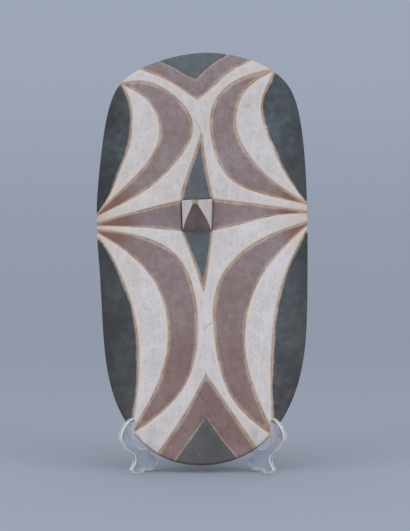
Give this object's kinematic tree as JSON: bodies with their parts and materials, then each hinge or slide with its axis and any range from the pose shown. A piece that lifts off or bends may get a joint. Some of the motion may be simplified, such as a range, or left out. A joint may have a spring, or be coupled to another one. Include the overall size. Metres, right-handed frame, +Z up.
{
  "type": "dance shield",
  "caption": "Long convex dance shield of carved, painted wood with a pyramid boss, curved colour fields and a grip behind, leaning back in a clear plastic easel.",
  "frame": {"origin": "on the floor, under the middle of the bounding box", "axes": "+Z up, the shield's face towards -Y, +X to the right seen from the front"},
  "size_m": [0.342, 0.2498, 0.6758],
  "materials": {
    "painted_wood": "matt chalky white, red-brown and grey-black paint on carved pale wood, worn to the wood along the cuts",
    "clear_acrylic": "clear polished acrylic sheet"
  },
  "bodies": {
    "root": {"shield": "painted_wood", "stand_wing_left": "clear_acrylic", "stand_wing_right": "clear_acrylic"}
  },
  "joints": []
}
